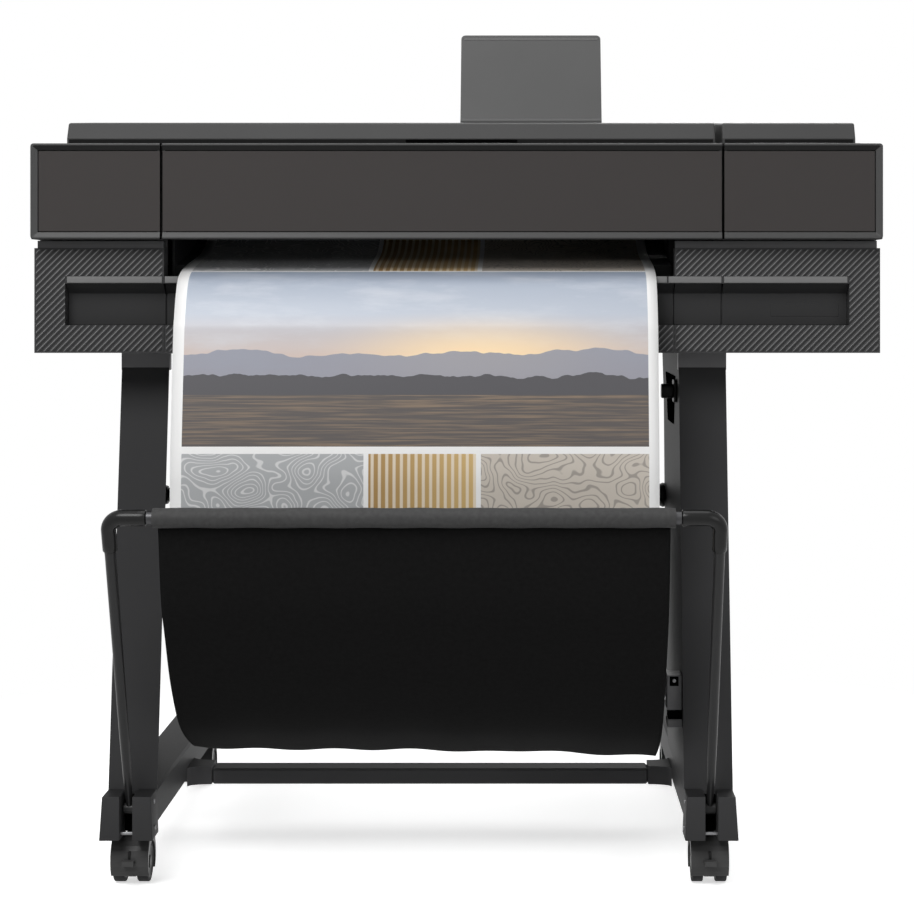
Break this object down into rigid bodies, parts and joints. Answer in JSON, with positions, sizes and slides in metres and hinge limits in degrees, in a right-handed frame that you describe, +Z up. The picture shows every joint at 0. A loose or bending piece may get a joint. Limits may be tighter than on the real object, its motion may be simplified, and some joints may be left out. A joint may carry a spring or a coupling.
{
  "type": "large format plotter",
  "caption": "Wide roll-fed plotter: a dark head with front door and top lids on a folded-metal wheeled stand, with a fabric catch bin in front and a printed sheet hanging out.",
  "frame": {"origin": "on the floor under the middle of the bounding box", "axes": "+X to the right seen from the front, +Y to the rear, +Z up"},
  "size_m": [1.085, 0.833, 1.117],
  "materials": {
    "shell": "fine matte texture",
    "lid": "fine matte texture",
    "steel": "dark powder coat",
    "bright": "satin",
    "rubber": "matte",
    "plastic": "matte",
    "fabric": "woven",
    "paper": "matte",
    "glass": "gloss",
    "black": "satin",
    "cyan": "satin",
    "magenta": "satin",
    "yellow": "satin"
  },
  "bodies": {
    "root": {"bin_rear_tube": "steel", "bin_sling": "fabric", "carriage_belt": "rubber", "carriage_motor": "steel", "carriage_rail": "bright", "chassis": "steel", "cross_brace": "steel", "feed_motor": "steel", "ink_cartridge_black": "black", "ink_cartridge_cyan": "cyan", "ink_cartridge_magenta": "magenta", "ink_cartridge_yellow": "yellow", "ink_station": "plastic", "left_brace_corner": "steel", "left_end_cover": "shell", "left_foot": "steel", "left_foot_cap": "plastic", "left_leg": "steel", "lower_front_centre": "shell", "lower_front_left": "shell", "lower_front_right": "shell", "platen": "plastic", "power_inlet": "plastic", "printed_sheet": "paper", "rear_cover": "shell", "right_brace_corner": "steel", "right_end_cover": "shell", "right_foot": "steel", "right_foot_cap": "plastic", "right_leg": "steel", "service_station": "plastic", "touch_screen": "glass"},
    "door": {"front_door": "shell"},
    "roll_lid": {"roll_cover": "lid"},
    "tray": {"sheet_tray": "lid"},
    "ink_door": {"ink_lid": "lid"},
    "button": {"power_button": "plastic"},
    "print_carriage": {"carriage": "plastic"},
    "motor_pulley_body": {"motor_pulley": "bright"},
    "idler_pulley_body": {"idler_pulley": "bright"},
    "feed_drive": {"feed_roller": "rubber"},
    "pinch_drive": {"pinch_roller": "rubber"},
    "roll_drive": {"roll_spindle": "plastic", "paper_roll": "paper"},
    "front_left_caster_swivel": {"front_left_caster_hood": "plastic"},
    "front_left_caster_roll": {"front_left_caster_wheels": "rubber"},
    "front_left_caster_brake": {"front_left_caster_brake_pedal": "plastic"},
    "front_right_caster_swivel": {"front_right_caster_hood": "plastic"},
    "front_right_caster_roll": {"front_right_caster_wheels": "rubber"},
    "front_right_caster_brake": {"front_right_caster_brake_pedal": "plastic"},
    "rear_left_caster_swivel": {"rear_left_caster_hood": "plastic"},
    "rear_left_caster_roll": {"rear_left_caster_wheels": "rubber"},
    "rear_right_caster_swivel": {"rear_right_caster_hood": "plastic"},
    "rear_right_caster_roll": {"rear_right_caster_wheels": "rubber"},
    "bin_frame": {"bin_bar": "steel", "bin_sleeve": "fabric", "left_bin_elbow": "plastic", "right_bin_elbow": "plastic", "left_bin_rod": "steel", "right_bin_rod": "steel"}
  },
  "joints": [
    {"name": "door_lift", "type": "hinge", "parent": "root", "child": "door", "pos_m": [0, -0.1645, 0.936], "axis": [-1, 0, 0], "range_deg": [0, 85]},
    {"name": "roll_cover_lift", "type": "hinge", "parent": "root", "child": "roll_lid", "pos_m": [0, 0.283, 0.942], "axis": [-1, 0, 0], "range_deg": [0, 65]},
    {"name": "sheet_tray_fold", "type": "hinge", "parent": "roll_lid", "child": "tray", "pos_m": [0.096, 0.05, 0.9903], "axis": [-1, 0, 0], "range_deg": [0, 63]},
    {"name": "ink_lid_lift", "type": "hinge", "parent": "root", "child": "ink_door", "pos_m": [0, 0.283, 0.942], "axis": [-1, 0, 0], "range_deg": [0, 65]},
    {"name": "power_button_press", "type": "slide", "parent": "root", "child": "button", "axis": [0, 0, -1], "range_m": [0, 0.0015], "stiffness_N_per_m": 300},
    {"name": "carriage_travel", "type": "slide", "parent": "root", "child": "print_carriage", "axis": [1, 0, 0], "range_m": [-0.615, 0]},
    {"name": "motor_pulley_spin", "type": "hinge", "parent": "root", "child": "motor_pulley_body", "pos_m": [-0.35, 0.012, 0.908], "axis": [0, 1, 0], "range_deg": [-30, 4600]},
    {"name": "idler_pulley_spin", "type": "hinge", "parent": "root", "child": "idler_pulley_body", "pos_m": [0.33, 0.012, 0.908], "axis": [0, 1, 0], "range_deg": [-30, 4600]},
    {"name": "feed_roller_spin", "type": "hinge", "parent": "root", "child": "feed_drive", "pos_m": [0, 0.047, 0.8119], "axis": [1, 0, 0], "continuous": true},
    {"name": "pinch_roller_spin", "type": "hinge", "parent": "root", "child": "pinch_drive", "pos_m": [0, 0.047, 0.8311], "axis": [1, 0, 0], "continuous": true},
    {"name": "roll_spin", "type": "hinge", "parent": "root", "child": "roll_drive", "pos_m": [0, 0.15, 0.86], "axis": [1, 0, 0], "continuous": true},
    {"name": "front_left_caster_swivel_turn", "type": "hinge", "parent": "root", "child": "front_left_caster_swivel", "pos_m": [-0.4125, -0.215, 0.05], "axis": [0, 0, 1], "continuous": true},
    {"name": "front_left_caster_wheel_spin", "type": "hinge", "parent": "front_left_caster_swivel", "child": "front_left_caster_roll", "pos_m": [-0.4125, -0.229, 0.02484], "axis": [1, 0, 0], "continuous": true},
    {"name": "front_left_caster_brake_press", "type": "hinge", "parent": "front_left_caster_swivel", "child": "front_left_caster_brake", "pos_m": [-0.4125, -0.2593, 0.0285], "axis": [1, 0, 0], "range_deg": [0, 18]},
    {"name": "front_right_caster_swivel_turn", "type": "hinge", "parent": "root", "child": "front_right_caster_swivel", "pos_m": [0.3205, -0.215, 0.05], "axis": [0, 0, 1], "continuous": true},
    {"name": "front_right_caster_wheel_spin", "type": "hinge", "parent": "front_right_caster_swivel", "child": "front_right_caster_roll", "pos_m": [0.3205, -0.229, 0.02484], "axis": [1, 0, 0], "continuous": true},
    {"name": "front_right_caster_brake_press", "type": "hinge", "parent": "front_right_caster_swivel", "child": "front_right_caster_brake", "pos_m": [0.3205, -0.2593, 0.0285], "axis": [1, 0, 0], "range_deg": [0, 18]},
    {"name": "rear_left_caster_swivel_turn", "type": "hinge", "parent": "root", "child": "rear_left_caster_swivel", "pos_m": [-0.4125, 0.36, 0.05], "axis": [0, 0, 1], "continuous": true},
    {"name": "rear_left_caster_wheel_spin", "type": "hinge", "parent": "rear_left_caster_swivel", "child": "rear_left_caster_roll", "pos_m": [-0.4125, 0.346, 0.02484], "axis": [1, 0, 0], "continuous": true},
    {"name": "rear_right_caster_swivel_turn", "type": "hinge", "parent": "root", "child": "rear_right_caster_swivel", "pos_m": [0.3205, 0.36, 0.05], "axis": [0, 0, 1], "continuous": true},
    {"name": "rear_right_caster_wheel_spin", "type": "hinge", "parent": "rear_right_caster_swivel", "child": "rear_right_caster_roll", "pos_m": [0.3205, 0.346, 0.02484], "axis": [1, 0, 0], "continuous": true},
    {"name": "bin_tilt", "type": "hinge", "parent": "root", "child": "bin_frame", "pos_m": [-0.046, -0.254, 0.098], "axis": [1, 0, 0], "range_deg": [0, 30]}
  ],
  "couplings": [
    {"joint": "motor_pulley_spin", "follows": "carriage_travel", "rad_per_m": -124.22},
    {"joint": "idler_pulley_spin", "follows": "carriage_travel", "rad_per_m": -124.22},
    {"joint": "pinch_roller_spin", "follows": "roll_spin", "ratio": 8.3333},
    {"joint": "feed_roller_spin", "follows": "roll_spin", "ratio": -4.1667}
  ]
}
